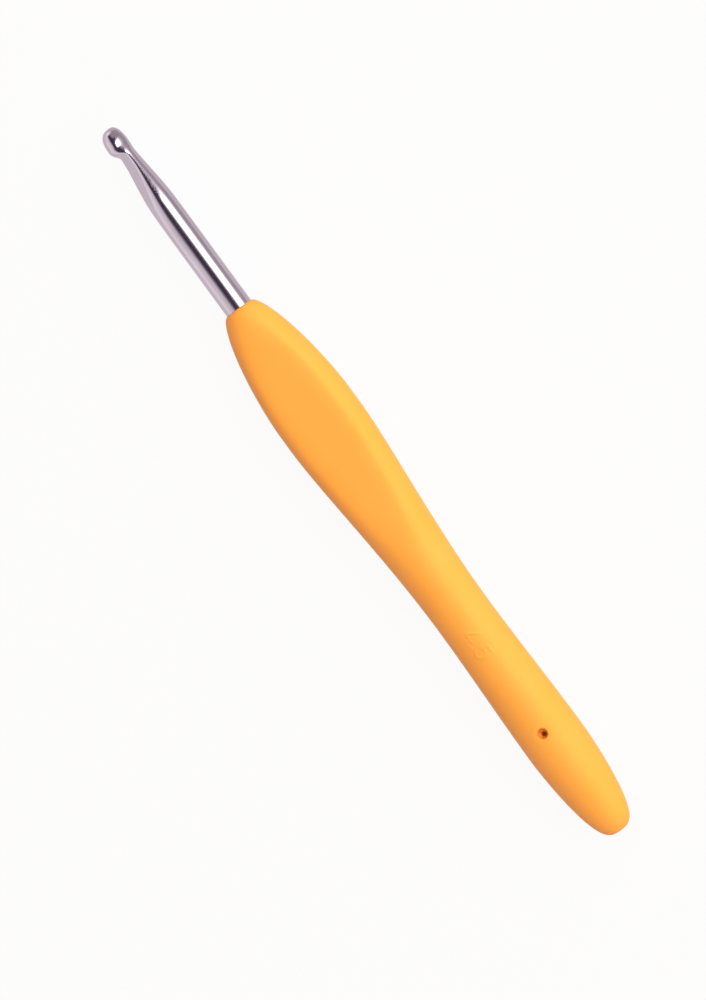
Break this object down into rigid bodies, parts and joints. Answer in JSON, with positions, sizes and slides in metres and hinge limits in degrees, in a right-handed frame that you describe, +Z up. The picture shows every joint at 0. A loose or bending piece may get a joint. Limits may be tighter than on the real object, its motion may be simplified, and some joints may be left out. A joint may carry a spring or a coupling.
{
  "type": "crochet hook",
  "caption": "Crochet hook with a polished metal head, throat and shank in a moulded soft grip with a flat thumb pad.",
  "frame": {"origin": "centre of the footprint, on the surface that the hook lies on", "axes": "+X from the hook's tip to the far end of the grip, +Z up, square to the thumb pad's face"},
  "size_m": [0.133, 0.0132, 0.0095],
  "materials": {
    "hook_shaft": "polished",
    "handle_core": "as moulded, hidden under the grip",
    "grip": "smooth matte elastomer, yellow-orange"
  },
  "bodies": {
    "root": {"hook_shaft": "hook_shaft", "handle_core": "handle_core", "grip": "grip"}
  },
  "joints": []
}
